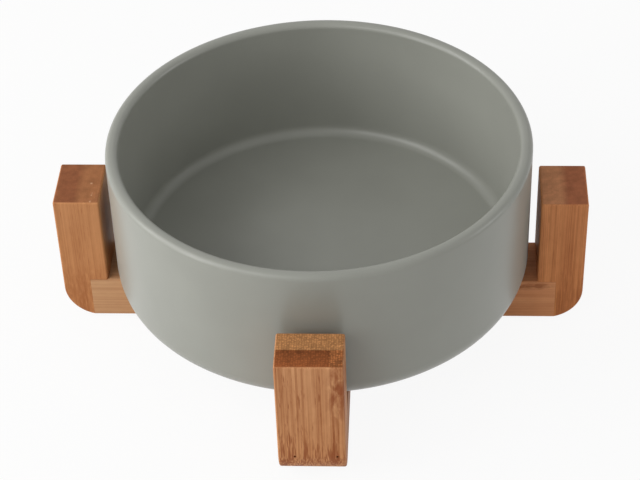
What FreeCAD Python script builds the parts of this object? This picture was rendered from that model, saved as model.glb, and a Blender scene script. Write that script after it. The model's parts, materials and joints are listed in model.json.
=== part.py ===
import FreeCAD, Part
import math
import os

os.makedirs("parts", exist_ok=True)

# Pet bowl standing in a stand made of two crossed bamboo frames.
# Millimetres, +Z up, the floor at zero, the bowl's axis on the Z axis.
# The front of the object faces -Y and its right side is +X.

# Bowl
BOWL_DIAMETER = 158.0
BOWL_HEIGHT = 60.0
RIM_THICKNESS = 4.8
RIM_ROUND = 2.2
RIM_ROUND_SHARE = 0.46     # the most of the rim's thickness that one rounding takes
BORE_LEAN = 2.0            # the inside narrows by this much from rim to floor
FLOOR_HEIGHT = 7.5         # inside floor above the foot
FLOOR_ROUND = 6.5
BASE_ROUND = 10.0
FOOT_WIDTH = 6.0
FOOT_RECESS = 3.0
FOOT_ROUND = 0.8

# Bamboo bars and uprights
BOWL_CLEARANCE = 3.5       # between the bowl and each upright
BAR_WIDTH = 24.0
BAR_HEIGHT = 18.0
UPRIGHT_THICKNESS = 17.5
UPRIGHT_HEIGHT = 56.0
CHEEK_THICKNESS = 10.5     # part of the upright that covers the bar's end
TOE_RADIUS = 14.0
EDGE_EASE = 0.8
LAP_CLEARANCE = 0.15       # each side, where the crossbars cross

# Brads, two through each upright into the bar's end
BRAD_DIAMETER = 1.0
BRAD_LENGTH = 25.0
BRAD_POINT = 1.6
BRAD_SINK = 0.8            # head below the face of the upright
BRAD_DROP = 5.2            # below the top of the bar
BRAD_WIDE_INSET = 6.0      # from one side of the upright
BRAD_NARROW_INSET = 3.0    # from its other side

# Non-slip pads
PAD_DIAMETER = 14.0
PAD_THICKNESS = 1.5
PAD_ROUND = 0.4
PAD_INSET = 6.5            # from the bar's end to the pad's edge

CUT_OVERRUN = 5.0          # how far a cutting shape runs past what it cuts
HAIR = 0.01                # slack when edges are picked by their place

# Levels and reaches that follow from the sizes above
bar_base = PAD_THICKNESS
seat = bar_base + BAR_HEIGHT
lap_level = bar_base + BAR_HEIGHT / 2
brad_level = seat - BRAD_DROP
upright_top = bar_base + UPRIGHT_HEIGHT
bowl_radius = BOWL_DIAMETER / 2
upright_inner = bowl_radius + BOWL_CLEARANCE
upright_outer = upright_inner + UPRIGHT_THICKNESS
bar_end = upright_outer - CHEEK_THICKNESS
half_width = BAR_WIDTH / 2

ORIGIN = FreeCAD.Vector(0, 0, 0)
ALONG = FreeCAD.Vector(1, 0, 0)
ACROSS = FreeCAD.Vector(0, 1, 0)
UP = FreeCAD.Vector(0, 0, 1)


# A point of a section: distance from the middle of the object, and height.
def at(reach, height):
    return FreeCAD.Vector(reach, 0, height)


# Start, middle and end of the arc that rounds a corner between two neighbours.
def corner_arc(before, corner, after, radius):
    back = (before - corner).normalize()
    ahead = (after - corner).normalize()
    half_angle = back.getAngle(ahead) / 2
    run = radius / math.tan(half_angle)
    depth = radius / math.sin(half_angle) - radius
    middle = corner + (back + ahead).normalize() * depth
    return corner + back * run, middle, corner + ahead * run


# A solid turned about the Z axis from section corners (reach, height, rounding).
def turned(corners):
    points = [at(reach, height) for reach, height, radius in corners]
    starts = []
    ends = []
    edges = []
    for index, corner in enumerate(points):
        radius = corners[index][2]
        start, end = corner, corner
        if radius > 0:
            after = points[(index + 1) % len(points)]
            start, middle, end = corner_arc(points[index - 1], corner, after, radius)
            edges.append(Part.Arc(start, middle, end).toShape())
        starts.append(start)
        ends.append(end)
    for index, end in enumerate(ends):
        edges.append(Part.makeLine(end, starts[(index + 1) % len(starts)]))
    section = Part.Wire(Part.sortEdges(edges)[0])
    return Part.Face(section).revolve(ORIGIN, UP, 360)


# The bowl: upright outside, leaning inside, on a foot ring.
def make_bowl():
    rim = seat + BOWL_HEIGHT
    floor = seat + FLOOR_HEIGHT
    rim_round = min(RIM_ROUND, RIM_THICKNESS * RIM_ROUND_SHARE)
    bore = bowl_radius - RIM_THICKNESS
    foot_inner = bowl_radius - BASE_ROUND - FOOT_WIDTH
    return turned([
        (0, seat + FOOT_RECESS, 0),
        (foot_inner, seat + FOOT_RECESS, FOOT_ROUND),
        (foot_inner, seat, FOOT_ROUND),
        (bowl_radius, seat, BASE_ROUND),
        (bowl_radius, rim, rim_round),
        (bore, rim, rim_round),
        (bore - BORE_LEAN, floor, FLOOR_ROUND),
        (0, floor, 0),
    ])


# A brad in the right upright, its point towards the middle of the stand.
def make_brad(offset):
    body = turned([
        (0, 0, 0),
        (BRAD_DIAMETER / 2, BRAD_POINT, 0),
        (BRAD_DIAMETER / 2, BRAD_LENGTH, 0),
        (0, BRAD_LENGTH, 0),
    ])
    body.rotate(ORIGIN, ACROSS, 90)
    body.translate(FreeCAD.Vector(upright_outer - BRAD_SINK - BRAD_LENGTH, offset, brad_level))
    return body


# The short open hole that is left over a sunk brad.
def make_sink(offset):
    head = FreeCAD.Vector(upright_outer - BRAD_SINK, offset, brad_level)
    return Part.makeCylinder(BRAD_DIAMETER / 2, BRAD_SINK + CUT_OVERRUN, head, ALONG)


# The right upright: its toe is rounded and it is notched over the end of the bar.
def make_upright(cuts):
    toe_reach = min(TOE_RADIUS, CHEEK_THICKNESS)
    toe_side = TOE_RADIUS - toe_reach
    toe_rise = math.sqrt(TOE_RADIUS ** 2 - toe_side ** 2)
    toe_turn = math.atan2(toe_rise, toe_side) / 2
    toe_centre = at(upright_outer - TOE_RADIUS, bar_base + toe_rise)
    toe_middle = toe_centre + at(math.cos(toe_turn), -math.sin(toe_turn)) * TOE_RADIUS
    toe_start = at(upright_outer, bar_base + toe_rise)
    toe_end = at(upright_outer - toe_reach, bar_base)
    corners = [
        at(bar_end, bar_base),
        at(bar_end, seat),
        at(upright_inner, seat),
        at(upright_inner, upright_top),
        at(upright_outer, upright_top),
        toe_start,
    ]
    if toe_reach < CHEEK_THICKNESS:
        corners.insert(0, toe_end)
    outline = [Part.makeLine(start, end) for start, end in zip(corners, corners[1:])]
    outline.append(Part.Arc(toe_start, toe_middle, toe_end).toShape())
    section = Part.Face(Part.Wire(outline))
    section.translate(ACROSS * -half_width)
    body = section.extrude(ACROSS * BAR_WIDTH)
    eased = []
    for edge in body.Edges:
        place = edge.CenterOfMass
        in_notch = place.x < bar_end + HAIR and place.z < seat + HAIR
        on_side = abs(place.y) > half_width - HAIR
        on_top = place.z > upright_top - HAIR
        if on_top or (on_side and not in_notch):
            eased.append(edge)
    return body.makeFillet(EDGE_EASE, eased).cut(cuts)


# A crossbar along X, with a notch halfway for the other bar.
def make_crossbar(notch_base, cuts):
    corner = FreeCAD.Vector(-bar_end, -half_width, bar_base)
    body = Part.makeBox(bar_end * 2, BAR_WIDTH, BAR_HEIGHT, corner)
    long_edges = [edge for edge in body.Edges if edge.Length > bar_end]
    body = body.makeFillet(EDGE_EASE, long_edges)
    notch_side = half_width + LAP_CLEARANCE
    notch_corner = FreeCAD.Vector(-notch_side, -half_width - CUT_OVERRUN, notch_base)
    notch_length = BAR_WIDTH + CUT_OVERRUN * 2
    notch = Part.makeBox(notch_side * 2, notch_length, BAR_HEIGHT / 2 + CUT_OVERRUN, notch_corner)
    return body.cut([notch] + cuts)


# A pad stuck under the right end of a bar.
def make_pad():
    radius = PAD_DIAMETER / 2
    body = turned([
        (0, 0, 0),
        (radius, 0, PAD_ROUND),
        (radius, PAD_THICKNESS, 0),
        (0, PAD_THICKNESS, 0),
    ])
    body.translate(at(bar_end - PAD_INSET - radius, 0))
    return body


# A copy of a piece on another side of the stand.
def moved_round(shape, degrees):
    copy = shape.copy()
    copy.rotate(ORIGIN, UP, degrees)
    return copy


brad_offsets = [BRAD_WIDE_INSET - half_width, half_width - BRAD_NARROW_INSET]
brads = [make_brad(offset) for offset in brad_offsets]
sinks = [make_sink(offset) for offset in brad_offsets]
upright = make_upright(brads + sinks)
pad = make_pad()

bar_brads = brads + [moved_round(brad, 180) for brad in brads]
under_notch = lap_level - BAR_HEIGHT / 2 - CUT_OVERRUN
pieces = {
    "bowl": make_bowl(),
    "lower_crossbar": make_crossbar(lap_level, bar_brads),
    "upper_crossbar": moved_round(make_crossbar(under_notch, bar_brads), 90),
}

# Each side of the stand: its turn from the right side, and where its two brads are.
sides = {
    "right": (0, ("front", "back")),
    "back": (90, ("right", "left")),
    "left": (180, ("back", "front")),
    "front": (270, ("left", "right")),
}
for side, (degrees, brad_places) in sides.items():
    pieces[side + "_upright"] = moved_round(upright, degrees)
    pieces[side + "_pad"] = moved_round(pad, degrees)
    for brad, place in zip(brads, brad_places):
        pieces[side + "_brad_" + place] = moved_round(brad, degrees)

for name, shape in pieces.items():
    shape.exportStep("parts/" + name + ".step")
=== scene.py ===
import json
import math

import bpy
from mathutils import Matrix, Vector


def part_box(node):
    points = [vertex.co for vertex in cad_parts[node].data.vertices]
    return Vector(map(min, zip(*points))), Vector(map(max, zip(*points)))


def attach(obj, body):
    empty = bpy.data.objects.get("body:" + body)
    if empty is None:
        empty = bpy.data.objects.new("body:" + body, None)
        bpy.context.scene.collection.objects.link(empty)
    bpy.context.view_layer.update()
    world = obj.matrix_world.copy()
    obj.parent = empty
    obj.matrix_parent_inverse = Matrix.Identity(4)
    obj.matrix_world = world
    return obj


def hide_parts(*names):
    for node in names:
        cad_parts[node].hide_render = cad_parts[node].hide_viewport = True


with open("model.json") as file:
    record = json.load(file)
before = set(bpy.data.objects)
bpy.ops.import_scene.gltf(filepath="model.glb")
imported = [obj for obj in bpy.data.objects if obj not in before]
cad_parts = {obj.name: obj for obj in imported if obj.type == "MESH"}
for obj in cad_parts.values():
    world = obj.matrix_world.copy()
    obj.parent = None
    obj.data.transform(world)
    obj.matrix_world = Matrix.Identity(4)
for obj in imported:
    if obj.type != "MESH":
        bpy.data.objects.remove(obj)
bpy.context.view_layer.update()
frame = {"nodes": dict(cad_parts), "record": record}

mm = 0.001  # sizes below are in millimetres, Blender's are in metres
noiseMiddle = 0.5  # what a noise averages
seamReach = 0.0005  # points nearer than this become one, along a seam and at the poles
nodes = frame["nodes"]
print("frame loaded:", len(nodes), "nodes")


def linear(hexColour):
    # sRGB hex to the linear colour that shaders take
    parts = [int(hexColour[i:i + 2], 16) / 255 for i in (1, 3, 5)]
    flat = [c / 12.92 if c <= 0.04045 else ((c + 0.055) / 1.055) ** 2.4 for c in parts]
    return (*flat, 1.0)


def addNode(tree, kind, sockets=None, **settings):
    # a socket's value is either another node's output, which is linked, or a constant
    # (Map Range: 0 value, 1 and 2 from, 3 and 4 to; a colour Mix: 0 share, 6 and 7 colours, output 2)
    node = tree.nodes.new(kind)
    for key, value in settings.items():
        setattr(node, key, value)
    for key, value in (sockets or {}).items():
        if isinstance(value, bpy.types.NodeSocket):
            tree.links.new(value, node.inputs[key])
        else:
            node.inputs[key].default_value = value
    return node


def newMaterial(name):
    material = bpy.data.materials.new(name)
    material.use_nodes = True
    material.node_tree.nodes.clear()
    return material, material.node_tree


def newTree(name, inputs):
    # a Geometry Nodes tree with named inputs, and each input's identifier
    tree = bpy.data.node_groups.new(name, "GeometryNodeTree")
    tree.interface.new_socket("Geometry", in_out="INPUT", socket_type="NodeSocketGeometry")
    tree.interface.new_socket("Geometry", in_out="OUTPUT", socket_type="NodeSocketGeometry")
    keys = {}
    for label, kind in inputs.items():
        keys[label] = tree.interface.new_socket(label, in_out="INPUT", socket_type=kind).identifier
    return tree, keys, tree.nodes.new("NodeGroupInput").outputs


def runTree(name, points, edges, attributes, tree, keys, values):
    # runs a tree on a small start mesh and keeps the result as a plain mesh
    mesh = bpy.data.meshes.new(name)
    mesh.from_pydata(points, edges, [])
    for label, (kind, field, data) in attributes.items():
        layer = mesh.attributes.new(label, kind, "POINT")
        layer.data.foreach_set(field, data)
    piece = bpy.data.objects.new(name, mesh)
    bpy.context.scene.collection.objects.link(piece)
    modifier = piece.modifiers.new("make", "NODES")
    modifier.node_group = tree
    for label, value in values.items():
        modifier[keys[label]] = value
    graph = bpy.context.evaluated_depsgraph_get()
    made = bpy.data.meshes.new_from_object(piece.evaluated_get(graph))
    piece.modifiers.remove(modifier)
    piece.data = made
    made.name = name
    return piece


def buildLathe():
    # a section of corners with roundings, swept once round the Z axis
    tree, keys, given = newTree("turnedSection", {
        "segments": "NodeSocketInt",
        "arcSteps": "NodeSocketInt",
        "waverShare": "NodeSocketFloat",
        "waverSize": "NodeSocketFloat",
        "seed": "NodeSocketFloat",
        "material": "NodeSocketMaterial",
    })
    curve = addNode(tree, "GeometryNodeMeshToCurve", {"Mesh": given["Geometry"]})
    rounding = addNode(
        tree, "GeometryNodeInputNamedAttribute", {"Name": "rounding"}, data_type="FLOAT")
    section = addNode(tree, "GeometryNodeFilletCurve", {
        "Curve": curve.outputs[0], "Count": given["arcSteps"],
        "Radius": rounding.outputs[0]}, mode="POLY")
    count = addNode(tree, "GeometryNodeAttributeDomainSize", {
        "Geometry": section.outputs[0]}, component="CURVE")

    # a grid with a column for each point of the section and a row for each step round
    around = addNode(tree, "ShaderNodeMath", {0: given["segments"], 1: 1.0}, operation="ADD")
    grid = addNode(tree, "GeometryNodeMeshGrid", {
        "Vertices X": count.outputs["Point Count"], "Vertices Y": around.outputs[0]})
    index = addNode(tree, "GeometryNodeInputIndex")
    ratio = addNode(tree, "ShaderNodeMath", {
        0: index.outputs[0], 1: around.outputs[0]}, operation="DIVIDE")
    column = addNode(tree, "ShaderNodeMath", {0: ratio.outputs[0]}, operation="FLOOR")
    place = addNode(tree, "GeometryNodeInputPosition")
    sample = addNode(tree, "GeometryNodeSampleIndex", {
        "Geometry": section.outputs[0], "Value": place.outputs[0], "Index": column.outputs[0]},
        data_type="FLOAT_VECTOR", domain="POINT")
    spot = addNode(tree, "ShaderNodeSeparateXYZ", {0: sample.outputs[0]})
    row = addNode(tree, "ShaderNodeMath", {
        0: index.outputs[0], 1: around.outputs[0]}, operation="MODULO")
    share = addNode(tree, "ShaderNodeMath", {
        0: row.outputs[0], 1: given["segments"]}, operation="DIVIDE")
    angle = addNode(tree, "ShaderNodeMath", {0: share.outputs[0], 1: math.tau}, operation="MULTIPLY")
    cosine = addNode(tree, "ShaderNodeMath", {0: angle.outputs[0]}, operation="COSINE")
    sine = addNode(tree, "ShaderNodeMath", {0: angle.outputs[0]}, operation="SINE")
    direction = addNode(tree, "ShaderNodeCombineXYZ", {0: cosine.outputs[0], 1: sine.outputs[0]})
    flat = addNode(tree, "ShaderNodeVectorMath", {
        0: direction.outputs[0], "Scale": spot.outputs["X"]}, operation="SCALE")
    height = addNode(tree, "ShaderNodeCombineXYZ", {2: spot.outputs["Z"]})
    whole = addNode(tree, "ShaderNodeVectorMath", {
        0: flat.outputs[0], 1: height.outputs[0]}, operation="ADD")

    # a slow waver, as a share of the reach, so that the poles and the seam stay closed
    scale = addNode(tree, "ShaderNodeMath", {0: 1.0, 1: given["waverSize"]}, operation="DIVIDE")
    noise = addNode(tree, "ShaderNodeTexNoise", {
        "Vector": whole.outputs[0], "W": given["seed"], "Scale": scale.outputs[0], "Detail": 1.0},
        noise_dimensions="4D")
    centred = addNode(tree, "ShaderNodeMath", {
        0: noise.outputs[0], 1: noiseMiddle}, operation="SUBTRACT")
    shift = addNode(tree, "ShaderNodeMath", {
        0: centred.outputs[0], 1: given["waverShare"]}, operation="MULTIPLY")
    waver = addNode(tree, "ShaderNodeVectorMath", {
        0: flat.outputs[0], "Scale": shift.outputs[0]}, operation="SCALE")
    wavered = addNode(tree, "ShaderNodeVectorMath", {
        0: whole.outputs[0], 1: waver.outputs[0]}, operation="ADD")

    swept = addNode(tree, "GeometryNodeSetPosition", {
        "Geometry": grid.outputs[0], "Position": wavered.outputs[0]})
    closed = addNode(tree, "GeometryNodeMergeByDistance", {
        "Geometry": swept.outputs[0], "Distance": seamReach * mm})
    outward = addNode(tree, "GeometryNodeFlipFaces", {"Mesh": closed.outputs[0]})
    smooth = addNode(tree, "GeometryNodeSetShadeSmooth", {"Geometry": outward.outputs[0]})
    real = addNode(tree, "GeometryNodeRealizeInstances", {"Geometry": smooth.outputs[0]})
    dressed = addNode(tree, "GeometryNodeSetMaterial", {
        "Geometry": real.outputs[0], "Material": given["material"]})
    addNode(tree, "NodeGroupOutput", {"Geometry": dressed.outputs[0]})
    return tree, keys


def buildSetOut():
    # copies a finished shape to each point of a mesh, its Z axis along the point's facing
    tree, keys, given = newTree("setOut", {
        "shape": "NodeSocketObject", "material": "NodeSocketMaterial"})
    shape = addNode(tree, "GeometryNodeObjectInfo", {"Object": given["shape"]})
    facing = addNode(
        tree, "GeometryNodeInputNamedAttribute", {"Name": "facing"}, data_type="FLOAT_VECTOR")
    turned = addNode(tree, "FunctionNodeAlignRotationToVector", {
        "Vector": facing.outputs[0]}, axis="Z")
    copies = addNode(tree, "GeometryNodeInstanceOnPoints", {
        "Points": given["Geometry"], "Instance": shape.outputs["Geometry"],
        "Rotation": turned.outputs[0]})
    real = addNode(tree, "GeometryNodeRealizeInstances", {"Geometry": copies.outputs[0]})
    dressed = addNode(tree, "GeometryNodeSetMaterial", {
        "Geometry": real.outputs[0], "Material": given["material"]})
    addNode(tree, "NodeGroupOutput", {"Geometry": dressed.outputs[0]})
    return tree, keys


latheTree, latheKeys = buildLathe()
setOutTree, setOutKeys = buildSetOut()


def turnPiece(name, corners, values):
    # corners are reach from the axis, height and rounding
    points = [(reach * mm, 0, height * mm) for reach, height, radius in corners]
    edges = [(i, i + 1) for i in range(len(points) - 1)]
    radii = [radius * mm for reach, height, radius in corners]
    attributes = {"rounding": ("FLOAT", "value", radii)}
    return runTree(name, points, edges, attributes, latheTree, latheKeys, values)


def setOut(name, shape, material, places, facings):
    flat = [part for facing in facings for part in facing]
    attributes = {"facing": ("FLOAT_VECTOR", "vector", flat)}
    values = {"shape": shape, "material": material}
    return runTree(name, places, [], attributes, setOutTree, setOutKeys, values)


bowlSizes = {
    "rimThickness": 4.8, "rimRound": 2.2, "floorHeight": 7.5, "floorRound": 4.5, "baseRound": 10.0,
    "boreLean": 1.4,  # how much the inside narrows from rim to floor
    "footWidth": 6.0, "footRecess": 3.0, "footRound": 0.8,
    "segments": 256, "arcSteps": 10,
    "waverShare": 0.0015, "waverSize": 38.0, "seed": 3.0,  # of the fired wall
    "glaze": "#999a92", "glazeDeep": "#8f9088", "cloudSize": 26.0, "roughness": 0.34, "ior": 1.5,
    "eggshellSize": 0.7, "eggshellDepth": 0.02, "eggshellStrength": 0.25,
    "bareClay": "#c9bfae", "clayRoughness": 0.85,
    "clayTop": 0.05, "glazeStart": 0.25,  # above the foot's face
}


def mattGlaze():
    # stoneware under a matt glaze, sprayed and fired: an even soft sheen with a faint eggshell
    s = bowlSizes
    material, tree = newMaterial("mattGlazedStoneware")
    place = addNode(tree, "ShaderNodeTexCoord").outputs["Object"]
    cloud = addNode(tree, "ShaderNodeTexNoise", {
        "Vector": place, "Scale": 1 / (s["cloudSize"] * mm), "Detail": 2.0})
    glaze = addNode(tree, "ShaderNodeMix", {
        0: cloud.outputs[0], 6: linear(s["glaze"]), 7: linear(s["glazeDeep"])}, data_type="RGBA")
    # the foot ring is wiped bare before firing
    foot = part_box("bowl")[0].z
    height = addNode(tree, "ShaderNodeSeparateXYZ", {0: place}).outputs["Z"]
    bare = addNode(tree, "ShaderNodeMapRange", {
        0: height, 1: foot + s["glazeStart"] * mm, 2: foot + s["clayTop"] * mm})
    colour = addNode(tree, "ShaderNodeMix", {
        0: bare.outputs[0], 6: glaze.outputs[2], 7: linear(s["bareClay"])}, data_type="RGBA")
    roughness = addNode(tree, "ShaderNodeMapRange", {
        0: bare.outputs[0], 3: s["roughness"], 4: s["clayRoughness"]})
    eggshell = addNode(tree, "ShaderNodeTexNoise", {
        "Vector": place, "Scale": 1 / (s["eggshellSize"] * mm), "Detail": 1.0})
    bump = addNode(tree, "ShaderNodeBump", {
        "Height": eggshell.outputs[0], "Strength": s["eggshellStrength"],
        "Distance": s["eggshellDepth"] * mm})
    shader = addNode(tree, "ShaderNodeBsdfPrincipled", {
        "Base Color": colour.outputs[2], "Roughness": roughness.outputs[0], "IOR": s["ior"],
        "Normal": bump.outputs[0]})
    addNode(tree, "ShaderNodeOutputMaterial", {"Surface": shader.outputs[0]})
    return material


def makeBowl():
    s = bowlSizes
    low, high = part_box("bowl")
    radius = (high.x - low.x) / 2 / mm
    base, rim = low.z / mm, high.z / mm
    bore = radius - s["rimThickness"]
    footInner = radius - s["baseRound"] - s["footWidth"]
    # from the middle of the underside, round the foot and over the rim, to the middle of the floor
    corners = [
        (0, base + s["footRecess"], 0),
        (footInner, base + s["footRecess"], s["footRound"]),
        (footInner, base, s["footRound"]),
        (radius, base, s["baseRound"]),
        (radius, rim, s["rimRound"]),
        (bore, rim, s["rimRound"]),
        (bore - s["boreLean"], base + s["floorHeight"], s["floorRound"]),
        (0, base + s["floorHeight"], 0),
    ]
    bowl = turnPiece("glazedBowl", corners, {
        "segments": s["segments"], "arcSteps": s["arcSteps"], "waverShare": s["waverShare"],
        "waverSize": s["waverSize"] * mm, "seed": s["seed"], "material": mattGlaze()})
    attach(bowl, "bowl")
    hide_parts("bowl")
    print("bowl:", len(bowl.data.polygons), "faces")


makeBowl()


bambooSizes = {
    # layers of the grain: texture, size across the fibres, size along them, and its own settings
    "layers": {
        "bundle": ("ShaderNodeTexVoronoi", 0.85, 60.0, {"Randomness": 0.4}),
        "band": ("ShaderNodeTexNoise", 0.72, 110.0, {"Detail": 2.0}),
        "fibre": ("ShaderNodeTexNoise", 0.26, 40.0, {"Detail": 2.0}),
        "blotch": ("ShaderNodeTexNoise", 3.4, 42.0, {"Detail": 1.0}),
        "mottle": ("ShaderNodeTexNoise", 1.9, 4.6, {"Detail": 3.0, "Distortion": 0.5}),
        "fleck": ("ShaderNodeTexNoise", 0.55, 6.5, {"Detail": 2.0}),
        "chip": ("ShaderNodeTexVoronoi", 2.6, 2.6, {"Randomness": 0.9}),
    },
    "seedStep": (31.0, 17.0, 230.0),  # how far a seed of 1 moves the pattern
    "dotCore": 0.1, "dotEdge": 0.6,  # of a fibre bundle, as shares of its width
    "glueWidth": 0.16, "glueFade": 0.32,
    # how much each layer darkens the long grain
    "streaks": {"band": 1.4, "fibre": 1.1, "blotch": 1.1, "mottle": 0.4, "dots": 0.12},
    # flecks at the toe: heights where they start and are thickest, and their level there
    "toeTop": 30.0, "toeFull": 13.0, "toeThin": -0.16, "toeThick": 0.06,
    "fleckStart": 0.48, "fleckBlend": 0.15, "clusterShare": 0.5,
    # a joint of the culm: its outer and inner edge as shares of its size, and its curls and specks
    "markOuter": 1.3, "markInner": 0.5, "curlStart": 0.3, "curlFull": 0.58,
    "speck": "#d3a573", "speckStart": 0.44, "speckFull": 0.3, "speckShare": 0.2,
    # end grain: how squarely a face cuts the fibres, and how its layers lighten it
    "endStart": 0.78, "endFull": 0.97, "endLevel": 0.55, "dotLevel": 0.3,
    "stripDotShare": 0.4, "endMottle": 0.4, "endBlotch": 0.5, "stripFall": -1.3,
    "chipPale": "#dcb896", "chipEdge": 0.26, "chipCore": 0.14,
    "chipDepth": 13.6, "chipRowEdge": 1.0, "chipRowCore": 0.5,
    "roughness": 0.56, "fibreRoughness": 0.12, "endRoughness": 0.15, "ior": 1.48, "specular": 0.15,
    "fibreDepth": 0.03, "fibreStrength": 0.5,
}

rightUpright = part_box("right_upright")
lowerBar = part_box("lower_crossbar")
outerFace = rightUpright[1].x / mm
uprightMiddle = (rightUpright[1].x - rightUpright[0].x) / 2 / mm
barTop, barSide = lowerBar[1].z / mm, lowerBar[1].y / mm
barMiddle = (lowerBar[1].z - lowerBar[0].z) / 2 / mm
noStrip = 40.0  # past the edge of every piece

# turn and shift lay a piece out: across it, in from its outer face, and along the grain;
# span is the stretch along the grain over which the painted light tint goes over from its low colour into
# its high one
uprightLay = {
    "shift": (0, outerFace, 0), "grain": (0, 0, 1), "glueDepth": uprightMiddle,
    "stripEdge": noStrip, "stripTone": 0.0, "highPaintedTint": "#ffffff", "span": (8.0, 46.0),
}
barLay = {
    "glueBlend": 0.2, "glueTone": 0.2, "innerTone": 0.08, "stripEdge": noStrip, "stripTone": 0.0,
    "endOuter": "#854d28", "endInner": "#ab7546", "endStrip": "#945d34", "endRise": 0.0,
    "dotShare": 0.25, "stain": "#8c4c2a", "toeShare": 0.0, "chipShare": 0.0,
    "highPaintedTint": "#fffaef", "span": (-84.0, 84.0),
}
bambooPieces = {
    "front_upright": {
        **uprightLay, "turn": (0, 0, 0), "seed": 5.1,
        "light": "#dba273", "dark": "#a6683f", "contrast": 1.0, "lowPaintedTint": "#fffaf1",
        "glueBlend": 0.16, "glueTone": 0.2, "innerTone": -0.1, "stripEdge": 7.1, "stripTone": 0.14,
        "endOuter": "#7f4725", "endInner": "#b17c4e", "endStrip": "#9f6137", "endRise": 0.5,
        "dotShare": 0.8, "chipShare": 0.0, "toeShare": 0.75,
        "stain": "#8f4b28", "markPlace": (9.6, 0, 46.0), "markSize": (3.2, 14.0), "markShare": 0.85,
    },
    "left_upright": {
        **uprightLay, "turn": (0, 0, 90), "seed": 1.7,
        "light": "#d49867", "dark": "#a4673e", "contrast": 0.58, "lowPaintedTint": "#fdf7ed",
        "glueBlend": 2.5, "glueTone": 0.1, "innerTone": -0.1,
        "endOuter": "#8e5739", "endInner": "#a16a45", "endStrip": "#a16a45", "endRise": 0.1,
        "dotShare": 0.1, "chipShare": 0.6, "toeShare": 0.5,
        "stain": "#9a5730", "markPlace": (12.0, 4, 12.0), "markSize": (6.0, 12.0), "markShare": 0.4,
    },
    "right_upright": {
        **uprightLay, "turn": (0, 0, -90), "seed": 8.5,
        "light": "#e69c66", "dark": "#a85f36", "contrast": 0.72, "lowPaintedTint": "#fef8ee",
        "glueBlend": 3.0, "glueTone": 0.05, "innerTone": -0.15,
        "endOuter": "#aa6847", "endInner": "#c98a61", "endStrip": "#c98a61", "endRise": 0.0,
        "dotShare": 0.1, "chipShare": 0.0, "toeShare": 0.25,
        "stain": "#8a4a28", "markPlace": (-6.0, 0, 30.0), "markSize": (5.0, 12.0), "markShare": 0.2,
    },
    "back_upright": {
        **uprightLay, "turn": (0, 0, 180), "seed": 7.0,
        "light": "#d69b66", "dark": "#9f633a", "contrast": 0.9, "lowPaintedTint": "#fef8ee",
        "glueBlend": 0.3, "glueTone": 0.2, "innerTone": -0.1, "stripEdge": -5.5, "stripTone": 0.1,
        "endOuter": "#854d28", "endInner": "#ab7546", "endStrip": "#945d34", "endRise": 0.15,
        "dotShare": 0.25, "chipShare": 0.3, "toeShare": 0.6,
        "stain": "#8c4c2a", "markPlace": (4.0, 0, 24.0), "markSize": (7.0, 5.0), "markShare": 0.5,
    },
    "lower_crossbar": {
        **barLay, "turn": (0, -90, 0), "shift": (barTop, barSide, 0), "grain": (1, 0, 0), "seed": 10.2,
        "light": "#f9ba8d", "dark": "#bd7146", "contrast": 0.4, "lowPaintedTint": "#e3f5f5",
        "glueDepth": barSide,
        "markPlace": (2.2, 0, 80.0), "markSize": (1.8, 9.0), "markShare": 0.7,
    },
    "upper_crossbar": {
        **barLay, "turn": (90, 0, 0), "shift": (0, barTop, 0), "grain": (0, 1, 0), "seed": 4.0,
        # darker than the other strips: partly a darker strip of bamboo, partly painted shade for its side
        # under the bowl
        "light": "#bb8558", "dark": "#8b5330", "contrast": 0.8, "lowPaintedTint": "#ffffff",
        "glueDepth": barMiddle,
        "markPlace": (2.0, 0, -34.0), "markSize": (9.0, 6.0), "markShare": 0.4,
    },
}


def grainLayers(tree, p):
    # the textures of the grain, drawn in millimetres on the piece's own lay
    s = bambooSizes
    place = addNode(tree, "ShaderNodeTexCoord").outputs["Object"]
    local = addNode(tree, "ShaderNodeMapping", {
        "Vector": place, "Location": p["shift"], "Scale": (1 / mm, 1 / mm, 1 / mm),
        "Rotation": [math.radians(angle) for angle in p["turn"]]}).outputs[0]
    moved = addNode(tree, "ShaderNodeVectorMath", {
        0: local, 1: [step * p["seed"] for step in s["seedStep"]]}, operation="ADD").outputs[0]
    across, depth, along = addNode(tree, "ShaderNodeSeparateXYZ", {0: local}).outputs
    grain = {"local": local, "across": across, "depth": depth, "along": along}
    for layer, (kind, width, length, sockets) in s["layers"].items():
        stretched = addNode(tree, "ShaderNodeVectorMath", {
            0: moved, 1: (1 / width, 1 / width, 1 / length)}, operation="MULTIPLY").outputs[0]
        grain[layer] = addNode(tree, kind, {
            "Vector": stretched, "Scale": 1.0, **sockets}).outputs[0]
    grain["dots"] = addNode(tree, "ShaderNodeMapRange", {
        0: grain["bundle"], 1: s["dotCore"], 2: s["dotEdge"], 3: 1.0, 4: 0.0}).outputs[0]
    return grain


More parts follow.
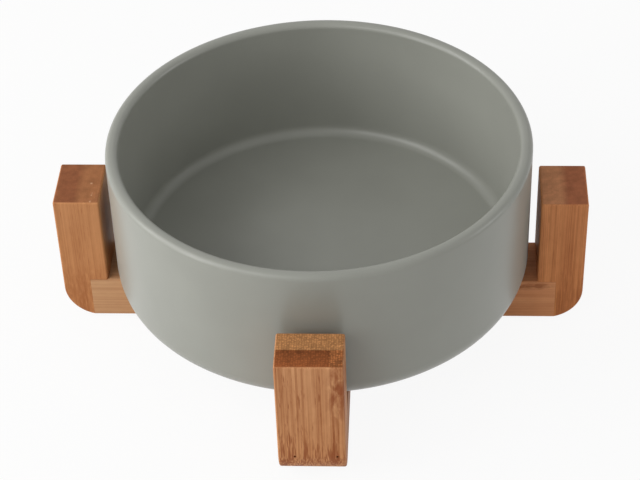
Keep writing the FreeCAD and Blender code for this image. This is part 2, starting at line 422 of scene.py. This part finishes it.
def gluedStrips(tree, p, grain):
    # an outer and an inner strip with a thin glue line between them; a third strip may edge the outer one
    s = bambooSizes
    blend, half = p["glueBlend"] / 2, s["glueWidth"] / 2
    inner = addNode(tree, "ShaderNodeMapRange", {
        0: grain["depth"], 1: p["glueDepth"] - blend, 2: p["glueDepth"] + blend}).outputs[0]
    outer = addNode(tree, "ShaderNodeMath", {0: 1.0, 1: inner}, operation="SUBTRACT").outputs[0]
    beside = addNode(tree, "ShaderNodeMapRange", {
        0: grain["across"], 1: p["stripEdge"] - half, 2: p["stripEdge"] + half}).outputs[0]
    offset = addNode(tree, "ShaderNodeMath", {
        0: grain["depth"], 1: p["glueDepth"]}, operation="SUBTRACT").outputs[0]
    apart = addNode(tree, "ShaderNodeMath", {0: offset}, operation="ABSOLUTE").outputs[0]
    grain["inner"] = inner
    grain["strip"] = addNode(tree, "ShaderNodeMath", {
        0: beside, 1: outer}, operation="MULTIPLY").outputs[0]
    grain["glue"] = addNode(tree, "ShaderNodeMapRange", {
        0: apart, 1: half, 2: s["glueFade"], 3: 1.0, 4: 0.0}).outputs[0]


def longGrain(tree, p, grain):
    # faces along the fibres: fine straight streaks between a light and a dark brown
    streaks = {layer: share * p["contrast"] for layer, share in bambooSizes["streaks"].items()}
    tone = noiseMiddle - noiseMiddle * sum(streaks.values())
    shares = {**streaks, "inner": p["innerTone"], "strip": p["stripTone"], "glue": p["glueTone"]}
    for layer, share in shares.items():
        tone = addNode(tree, "ShaderNodeMath", {
            0: grain[layer], 1: share, 2: tone}, operation="MULTIPLY_ADD").outputs[0]
    shade = addNode(tree, "ShaderNodeClamp", {0: tone}).outputs[0]
    return addNode(tree, "ShaderNodeMix", {
        0: shade, 6: linear(p["light"]), 7: linear(p["dark"])}, data_type="RGBA").outputs[2]


def toeFlecks(tree, p, grain):
    # the toe is cut across the fibres, so the bundles show there as short dark flecks
    s = bambooSizes
    level = addNode(tree, "ShaderNodeMapRange", {
        0: grain["along"], 1: s["toeTop"], 2: s["toeFull"], 3: s["toeThin"], 4: s["toeThick"]}).outputs[0]
    flecked = addNode(tree, "ShaderNodeMath", {0: grain["fleck"], 1: level}, operation="ADD").outputs[0]
    clustered = addNode(tree, "ShaderNodeMath", {
        0: grain["blotch"], 1: s["clusterShare"], 2: flecked}, operation="MULTIPLY_ADD").outputs[0]
    start = s["fleckStart"] + noiseMiddle * s["clusterShare"]
    return addNode(tree, "ShaderNodeMapRange", {
        0: clustered, 1: start, 2: start + s["fleckBlend"], 3: 0.0, 4: p["toeShare"]}).outputs[0]


def stainsAndPaintedLight(tree, p, grain, face):
    # a joint of the culm: a rust-brown patch with curly edges and pale specks, over the toe's flecks, all
    # under a painted light tint along the piece
    s = bambooSizes
    width, length = p["markSize"]
    away = addNode(tree, "ShaderNodeVectorMath", {
        0: grain["local"], 1: p["markPlace"]}, operation="SUBTRACT").outputs[0]
    oval = addNode(tree, "ShaderNodeVectorMath", {
        0: away, 1: (1 / width, 0, 1 / length)}, operation="MULTIPLY").outputs[0]
    reach = addNode(tree, "ShaderNodeVectorMath", {0: oval}, operation="LENGTH").outputs["Value"]
    edge = addNode(tree, "ShaderNodeMapRange", {
        0: reach, 1: s["markOuter"], 2: s["markInner"], 3: 0.0, 4: 1.0}).outputs[0]
    curl = addNode(tree, "ShaderNodeMapRange", {
        0: grain["mottle"], 1: s["curlStart"], 2: s["curlFull"], 3: 0.0, 4: p["markShare"]}).outputs[0]
    speck = addNode(tree, "ShaderNodeMapRange", {
        0: grain["mottle"], 1: s["speckStart"], 2: s["speckFull"], 3: 0.0,
        4: s["speckShare"] * p["markShare"]}).outputs[0]
    mark = addNode(tree, "ShaderNodeMath", {0: edge, 1: curl}, operation="MULTIPLY").outputs[0]
    pale = addNode(tree, "ShaderNodeMath", {0: edge, 1: speck}, operation="MULTIPLY").outputs[0]
    rust = addNode(tree, "ShaderNodeMath", {
        0: mark, 1: toeFlecks(tree, p, grain)}, operation="MAXIMUM").outputs[0]
    rusty = addNode(tree, "ShaderNodeMix", {
        0: rust, 6: face, 7: linear(p["stain"])}, data_type="RGBA").outputs[2]
    specked = addNode(tree, "ShaderNodeMix", {
        0: pale, 6: rusty, 7: linear(s["speck"])}, data_type="RGBA").outputs[2]
    # painted light along the piece: a tint going over from its low to its high colour, standing in for
    # sheen and shade
    start, end = p["span"]
    paintedLightShare = addNode(tree, "ShaderNodeMapRange", {0: grain["along"], 1: start, 2: end}).outputs[0]
    paintedLightTint = addNode(tree, "ShaderNodeMix", {
        0: paintedLightShare, 6: linear(p["lowPaintedTint"]), 7: linear(p["highPaintedTint"])}, data_type="RGBA").outputs[2]
    return addNode(tree, "ShaderNodeMix", {
        0: 1.0, 6: specked, 7: paintedLightTint}, data_type="RGBA", blend_type="MULTIPLY").outputs[2]


def endGrain(tree, p, grain):
    # end grain drinks more oil and goes darker, each strip by its own amount, with pale dots in it
    s = bambooSizes
    layered = addNode(tree, "ShaderNodeMix", {
        0: grain["inner"], 6: linear(p["endOuter"]), 7: linear(p["endInner"])}, data_type="RGBA").outputs[2]
    edged = addNode(tree, "ShaderNodeMix", {
        0: grain["strip"], 6: layered, 7: linear(p["endStrip"])}, data_type="RGBA").outputs[2]
    rise = addNode(tree, "ShaderNodeMapRange", {
        0: grain["depth"], 1: p["glueDepth"], 2: 0.0, 3: 0.0, 4: p["endRise"]}).outputs[0]
    stripDots = addNode(tree, "ShaderNodeMath", {
        0: grain["strip"], 1: grain["dots"]}, operation="MULTIPLY").outputs[0]
    stripRise = addNode(tree, "ShaderNodeMath", {
        0: grain["strip"], 1: rise}, operation="MULTIPLY").outputs[0]
    level = s["endLevel"] - s["dotLevel"] * p["dotShare"]
    for output, share in (
            (grain["dots"], p["dotShare"]), (stripDots, s["stripDotShare"] * p["dotShare"]),
            (grain["mottle"], s["endMottle"]), (grain["blotch"], s["endBlotch"]),
            (rise, 1.0), (stripRise, s["stripFall"])):
        level = addNode(tree, "ShaderNodeMath", {
            0: output, 1: share, 2: level}, operation="MULTIPLY_ADD").outputs[0]
    dotted = addNode(tree, "ShaderNodeVectorMath", {0: edged, "Scale": level}, operation="SCALE").outputs[0]
    # a few pale chips in a row where the saw left the wood
    bit = addNode(tree, "ShaderNodeMapRange", {
        0: grain["chip"], 1: s["chipEdge"], 2: s["chipCore"], 3: 0.0, 4: p["chipShare"]}).outputs[0]
    offset = addNode(tree, "ShaderNodeMath", {
        0: grain["depth"], 1: s["chipDepth"]}, operation="SUBTRACT").outputs[0]
    apart = addNode(tree, "ShaderNodeMath", {0: offset}, operation="ABSOLUTE").outputs[0]
    row = addNode(tree, "ShaderNodeMapRange", {
        0: apart, 1: s["chipRowEdge"], 2: s["chipRowCore"], 3: 0.0, 4: 1.0}).outputs[0]
    chips = addNode(tree, "ShaderNodeMath", {0: bit, 1: row}, operation="MULTIPLY").outputs[0]
    return addNode(tree, "ShaderNodeMix", {
        0: chips, 6: dotted, 7: linear(s["chipPale"])}, data_type="RGBA").outputs[2]


def oiledBamboo(piece):
    # steamed bamboo, laminated, sanded and oiled: straight fibre streaks, a low sheen along the grain,
    # and darker ends with pale dots where the fibre bundles are cut
    s, p = bambooSizes, bambooPieces[piece]
    material, tree = newMaterial("oiledSteamedBamboo_" + piece)
    grain = grainLayers(tree, p)
    gluedStrips(tree, p, grain)
    face = stainsAndPaintedLight(tree, p, grain, longGrain(tree, p, grain))
    # 1 on faces that cut the fibres, 0 on faces along them
    normal = addNode(tree, "ShaderNodeTexCoord").outputs["Normal"]
    facing = addNode(tree, "ShaderNodeVectorMath", {0: normal, 1: p["grain"]}, operation="DOT_PRODUCT")
    square = addNode(tree, "ShaderNodeMath", {0: facing.outputs["Value"]}, operation="ABSOLUTE").outputs[0]
    end = addNode(tree, "ShaderNodeMapRange", {0: square, 1: s["endStart"], 2: s["endFull"]}).outputs[0]
    colour = addNode(tree, "ShaderNodeMix", {
        0: end, 6: face, 7: endGrain(tree, p, grain)}, data_type="RGBA").outputs[2]
    fibrous = addNode(tree, "ShaderNodeMath", {
        0: grain["fibre"], 1: s["fibreRoughness"],
        2: s["roughness"] - noiseMiddle * s["fibreRoughness"]}, operation="MULTIPLY_ADD").outputs[0]
    roughness = addNode(tree, "ShaderNodeMath", {
        0: end, 1: s["endRoughness"], 2: fibrous}, operation="MULTIPLY_ADD").outputs[0]
    bump = addNode(tree, "ShaderNodeBump", {
        "Height": grain["fibre"], "Strength": s["fibreStrength"], "Distance": s["fibreDepth"] * mm})
    shader = addNode(tree, "ShaderNodeBsdfPrincipled", {
        "Base Color": colour, "Roughness": roughness, "IOR": s["ior"],
        "Specular IOR Level": s["specular"], "Normal": bump.outputs[0]})
    addNode(tree, "ShaderNodeOutputMaterial", {"Surface": shader.outputs[0]})
    return material


for piece in bambooPieces:
    bamboo = oiledBamboo(piece)
    for place in nodes[piece].material_slots:
        place.material = bamboo
print("bamboo:", len(bambooPieces), "pieces")


bradSizes = {
    "headRound": 0.12, "pointLength": 1.6, "segments": 24, "arcSteps": 3,
    "steel": "#8f8b84", "oxide": "#4d4038", "patchSize": 8.0,
    "sheenSize": 0.15, "smoothest": 0.28, "roughest": 0.53,
}


def drawnSteel():
    # drawn steel wire: a fine uneven sheen, dull grey with patches gone brown in the wood
    s = bradSizes
    material, tree = newMaterial("drawnSteelWire")
    place = addNode(tree, "ShaderNodeTexCoord").outputs["Object"]
    sheen = addNode(tree, "ShaderNodeTexNoise", {
        "Vector": place, "Scale": 1 / (s["sheenSize"] * mm), "Detail": 2.0})
    patch = addNode(tree, "ShaderNodeTexNoise", {
        "Vector": place, "Scale": 1 / (s["patchSize"] * mm), "Detail": 3.0})
    colour = addNode(tree, "ShaderNodeMix", {
        0: patch.outputs[0], 6: linear(s["steel"]), 7: linear(s["oxide"])}, data_type="RGBA")
    roughness = addNode(tree, "ShaderNodeMapRange", {
        0: sheen.outputs[0], 3: s["smoothest"], 4: s["roughest"]})
    shader = addNode(tree, "ShaderNodeBsdfPrincipled", {
        "Base Color": colour.outputs[2], "Metallic": 1.0, "Roughness": roughness.outputs[0]})
    addNode(tree, "ShaderNodeOutputMaterial", {"Surface": shader.outputs[0]})
    return material


def makeBrads(body, wanted, material):
    # a brad's head is its end farther from the bowl's axis
    s = bradSizes
    heads, inwards = [], []
    for node in wanted:
        low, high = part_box(node)
        middle = (low + high) / 2
        axis = 0 if high.x - low.x > high.y - low.y else 1
        side = 1 if middle[axis] > 0 else -1
        head = middle.copy()
        head[axis] = (high if side > 0 else low)[axis]
        inward = Vector((0, 0, 0))
        inward[axis] = -side
        heads.append(head)
        inwards.append(inward)
    # all brads are alike, so the last one gives the size
    length, radius = (high - low)[axis] / mm, (high.z - low.z) / 2 / mm
    shank = length - s["pointLength"]
    corners = [(0, 0, 0), (radius, 0, s["headRound"]), (radius, shank, 0), (0, length, 0)]
    shape = turnPiece("brad", corners, {
        "segments": s["segments"], "arcSteps": s["arcSteps"], "material": material})
    brads = setOut(body.replace("_frame", "Brads"), shape, material, heads, inwards)
    bpy.data.objects.remove(shape)
    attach(brads, body)
    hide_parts(*wanted)


padSizes = {
    "edgeRound": 0.4, "segments": 64, "arcSteps": 5,
    "rubber": "#2b2a29", "dust": "#45423e", "dustSize": 3.6, "roughness": 0.75,
    "stippleSize": 0.6,  # finer in life, drawn this coarse so that it shows
    "stippleDepth": 0.1, "stippleStrength": 0.6,
}


def mouldedRubber():
    # moulded rubber: soft black with a fine stipple and a little grey dust in it
    s = padSizes
    material, tree = newMaterial("mouldedRubber")
    place = addNode(tree, "ShaderNodeTexCoord").outputs["Object"]
    stipple = addNode(tree, "ShaderNodeTexVoronoi", {
        "Vector": place, "Scale": 1 / (s["stippleSize"] * mm)})
    dust = addNode(tree, "ShaderNodeTexNoise", {
        "Vector": place, "Scale": 1 / (s["dustSize"] * mm), "Detail": 3.0})
    colour = addNode(tree, "ShaderNodeMix", {
        0: dust.outputs[0], 6: linear(s["rubber"]), 7: linear(s["dust"])}, data_type="RGBA")
    bump = addNode(tree, "ShaderNodeBump", {
        "Height": stipple.outputs["Distance"], "Strength": s["stippleStrength"],
        "Distance": s["stippleDepth"] * mm})
    shader = addNode(tree, "ShaderNodeBsdfPrincipled", {
        "Base Color": colour.outputs[2], "Roughness": s["roughness"], "Normal": bump.outputs[0]})
    addNode(tree, "ShaderNodeOutputMaterial", {"Surface": shader.outputs[0]})
    return material


def makePads(body, wanted, material):
    s = padSizes
    places = []
    for node in wanted:
        low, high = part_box(node)
        places.append(Vector(((low.x + high.x) / 2, (low.y + high.y) / 2, low.z)))
    # all pads are alike, so the last one gives the size
    radius, thickness = (high.x - low.x) / 2 / mm, (high.z - low.z) / mm
    corners = [(0, 0, 0), (radius, 0, s["edgeRound"]), (radius, thickness, 0), (0, thickness, 0)]
    shape = turnPiece("pad", corners, {
        "segments": s["segments"], "arcSteps": s["arcSteps"], "material": material})
    pads = setOut(body.replace("_frame", "Pads"), shape, material, places, [(0, 0, 1)] * len(places))
    bpy.data.objects.remove(shape)
    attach(pads, body)
    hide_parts(*wanted)


steel, rubber = drawnSteel(), mouldedRubber()
for body in ("lower_frame", "upper_frame"):
    held = frame["record"]["behaviour"]["bodies"][body]
    makeBrads(body, [node for node in held if "_brad_" in node], steel)
    makePads(body, [node for node in held if node.endswith("_pad")], rubber)
print("brads and pads set out")


cameraSizes = {
    "azimuth": 3.715, "elevation": 39.985, "roll": -2.121,  # degrees
    "distance": 763.4, "aim": (-0.845, 0.0, 29.9),
    "focalPixels": 1980.8, "imageWidth": 640, "sensor": 36.0,
}


def outwards(azimuth, elevation):
    # away from the object, in radians: turned from the front to the right, and raised
    flat = math.cos(elevation)
    return Vector((math.sin(azimuth) * flat, -math.cos(azimuth) * flat, math.sin(elevation)))


def makeCamera():
    # the photograph's angle
    s = cameraSizes
    azimuth, elevation, roll = (math.radians(s[k]) for k in ("azimuth", "elevation", "roll"))
    back = outwards(azimuth, elevation)
    level = Vector((math.cos(azimuth), math.sin(azimuth), 0))
    rise = back.cross(level)
    right = level * math.cos(roll) + rise * math.sin(roll)
    up = rise * math.cos(roll) - level * math.sin(roll)
    lens = bpy.data.cameras.new("camera")
    lens.sensor_fit = "HORIZONTAL"
    lens.sensor_width = s["sensor"]
    lens.lens = s["focalPixels"] / s["imageWidth"] * s["sensor"]
    camera = bpy.data.objects.new("camera", lens)
    turn = Matrix((right, up, back)).transposed().to_4x4()
    place = Vector(s["aim"]) * mm + back * s["distance"] * mm
    camera.matrix_world = Matrix.Translation(place) @ turn
    bpy.context.scene.collection.objects.link(camera)
    bpy.context.scene.camera = camera
    print("camera: lens", round(lens.lens, 2), "mm")


makeCamera()


stageSizes = {
    "floorSide": 6000.0, "floorShade": "#e9e9e7",
    "floorDrop": 0.02,  # a hair below the pads
    "floorGlow": 0.92,  # how much of the floor the camera sees as plain white
    "skyGlow": 0.53,
    "lampReach": 1100.0, "lampSide": 330.0, "lampAim": (0, 0, 40),
    # power in watts, turn from the front to the right and height in degrees
    "lamps": {
        "keyLamp": (2.85, -60, 18), "sideLamp": (2.4, -90, 18), "softLamp": (1.55, -60, 42),
        "highLamp": (1.65, -90, 42), "frontLamp": (1.35, -30, 42), "fillLamp": (1.55, 90, 18),
    },
}


def seenDirectly(tree):
    # 1 where the camera, a reflection or something clear looks at it, 0 where it lights the object
    path = addNode(tree, "ShaderNodeLightPath")
    seen = addNode(tree, "ShaderNodeMath", {
        0: path.outputs["Is Camera Ray"], 1: path.outputs["Is Glossy Ray"]}, operation="MAXIMUM")
    return addNode(tree, "ShaderNodeMath", {
        0: seen.outputs[0], 1: path.outputs["Is Transmission Ray"]}, operation="MAXIMUM").outputs[0]


def makeFloor():
    s = stageSizes
    half, level = s["floorSide"] * mm / 2, -s["floorDrop"] * mm
    corners = [(x * half, y * half, level) for x, y in ((-1, -1), (1, -1), (1, 1), (-1, 1))]
    mesh = bpy.data.meshes.new("floor")
    mesh.from_pydata(corners, [], [(0, 1, 2, 3)])
    floor = bpy.data.objects.new("floor", mesh)
    bpy.context.scene.collection.objects.link(floor)
    # pale paper: matt to the object, near white to the camera, and it keeps the shadow
    material, tree = newMaterial("paleStudioPaper")
    paper = addNode(tree, "ShaderNodeBsdfDiffuse", {"Color": linear(s["floorShade"])})
    glow = addNode(tree, "ShaderNodeEmission", {"Strength": 1.0})
    amount = addNode(tree, "ShaderNodeMath", {
        0: seenDirectly(tree), 1: s["floorGlow"]}, operation="MULTIPLY")
    both = addNode(tree, "ShaderNodeMixShader", {
        0: amount.outputs[0], 1: paper.outputs[0], 2: glow.outputs[0]})
    addNode(tree, "ShaderNodeOutputMaterial", {"Surface": both.outputs[0]})
    floor.data.materials.append(material)


def makeLamp(name, power, turn, height):
    s = stageSizes
    light = bpy.data.lights.new(name, "AREA")
    light.energy = power
    light.size = s["lampSide"] * mm
    lamp = bpy.data.objects.new(name, light)
    out = outwards(math.radians(turn), math.radians(height))
    lamp.location = Vector(s["lampAim"]) * mm + out * s["lampReach"] * mm
    lamp.rotation_euler = out.to_track_quat("Z", "Y").to_euler()
    bpy.context.scene.collection.objects.link(lamp)


def makeWorld():
    world = bpy.data.worlds.new("studio")
    bpy.context.scene.world = world
    world.use_nodes = True
    tree = world.node_tree
    tree.nodes.clear()
    # an even white tent: it lights the object less than it shows to the camera
    strength = addNode(tree, "ShaderNodeMix", {
        0: seenDirectly(tree), 2: stageSizes["skyGlow"], 3: 1.0}, data_type="FLOAT")
    sky = addNode(tree, "ShaderNodeBackground", {"Strength": strength.outputs[0]})
    addNode(tree, "ShaderNodeOutputWorld", {"Surface": sky.outputs[0]})


makeFloor()
for name, (power, turn, height) in stageSizes["lamps"].items():
    makeLamp(name, power, turn, height)
makeWorld()
bpy.context.scene.view_settings.view_transform = "Standard"
print("stage set")
